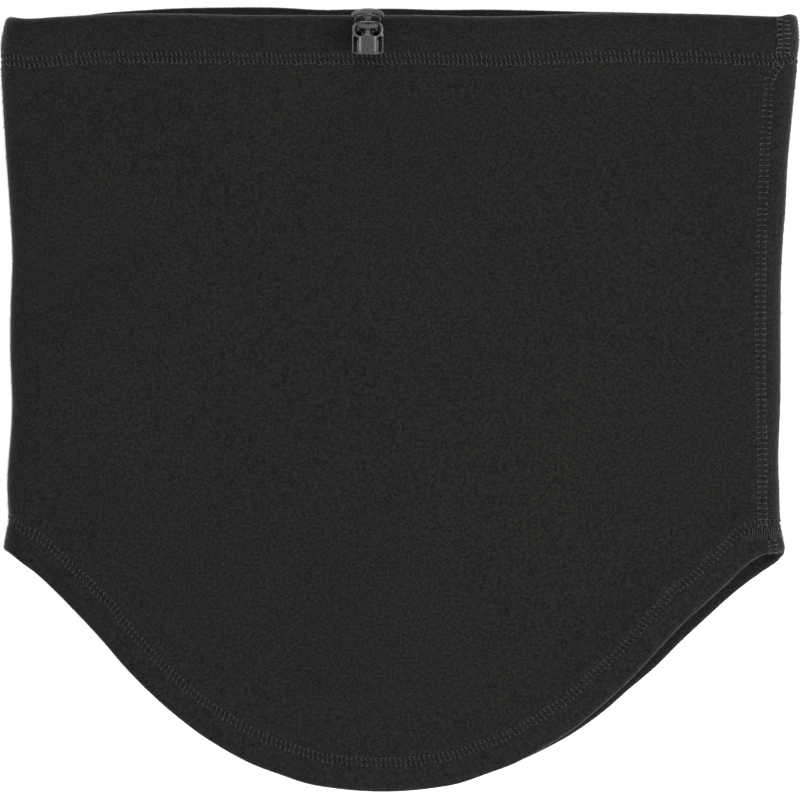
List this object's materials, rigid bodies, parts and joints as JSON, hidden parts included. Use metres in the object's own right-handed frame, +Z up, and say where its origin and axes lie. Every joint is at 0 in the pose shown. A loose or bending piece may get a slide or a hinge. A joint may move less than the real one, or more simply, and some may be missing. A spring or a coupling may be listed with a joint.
{
  "type": "neck gaiter",
  "caption": "Fleece tube worn round the neck, with a bib-shaped lower hem and an elastic drawcord hem closed by a sprung push-button cord lock.",
  "frame": {"origin": "centre of the flat gaiter's outline, on the surface that its back layer lies on", "axes": "+X across the tube towards the seamed side, +Y towards the drawcord hem, +Z up out of the front layer"},
  "size_m": [0.2694, 0.265, 0.0217],
  "materials": {
    "fleece": "brushed fleece pile, matte",
    "facing": "brushed fleece pile, matte",
    "thread": "textured polyester sewing thread",
    "cord": "braided elastic cord",
    "lock_plastic": "polished moulded plastic",
    "spring_steel": "drawn spring wire"
  },
  "bodies": {
    "gaiter": {"fleece_tube": "fleece", "top_hem_facing": "facing", "bottom_hem_facing": "facing", "side_seam_stitching": "thread", "top_hem_seam_stitching": "thread", "bottom_hem_seam_stitching": "thread", "top_hem_stitching": "thread", "bottom_hem_stitching": "thread", "hem_bartack": "thread", "eyelet_left": "thread", "eyelet_right": "thread", "drawcord": "cord"},
    "lock": {"cord_lock_body": "lock_plastic", "cord_lock_spring": "spring_steel", "drawcord_bight": "cord"},
    "plunger": {"cord_lock_plunger": "lock_plastic"}
  },
  "joints": [
    {"name": "lock_pull", "type": "slide", "parent": "gaiter", "child": "lock", "axis": [0, 0, 1], "range_m": [0, 0.012], "stiffness_N_per_m": 120, "springref_m": -0.002, "deforming": ["drawcord_bight"]},
    {"name": "plunger_press", "type": "slide", "parent": "lock", "child": "plunger", "axis": [0, -1, 0], "range_m": [0, 0.0024], "stiffness_N_per_m": 1500, "springref_m": -0.0015, "deforming": ["cord_lock_spring"]}
  ]
}
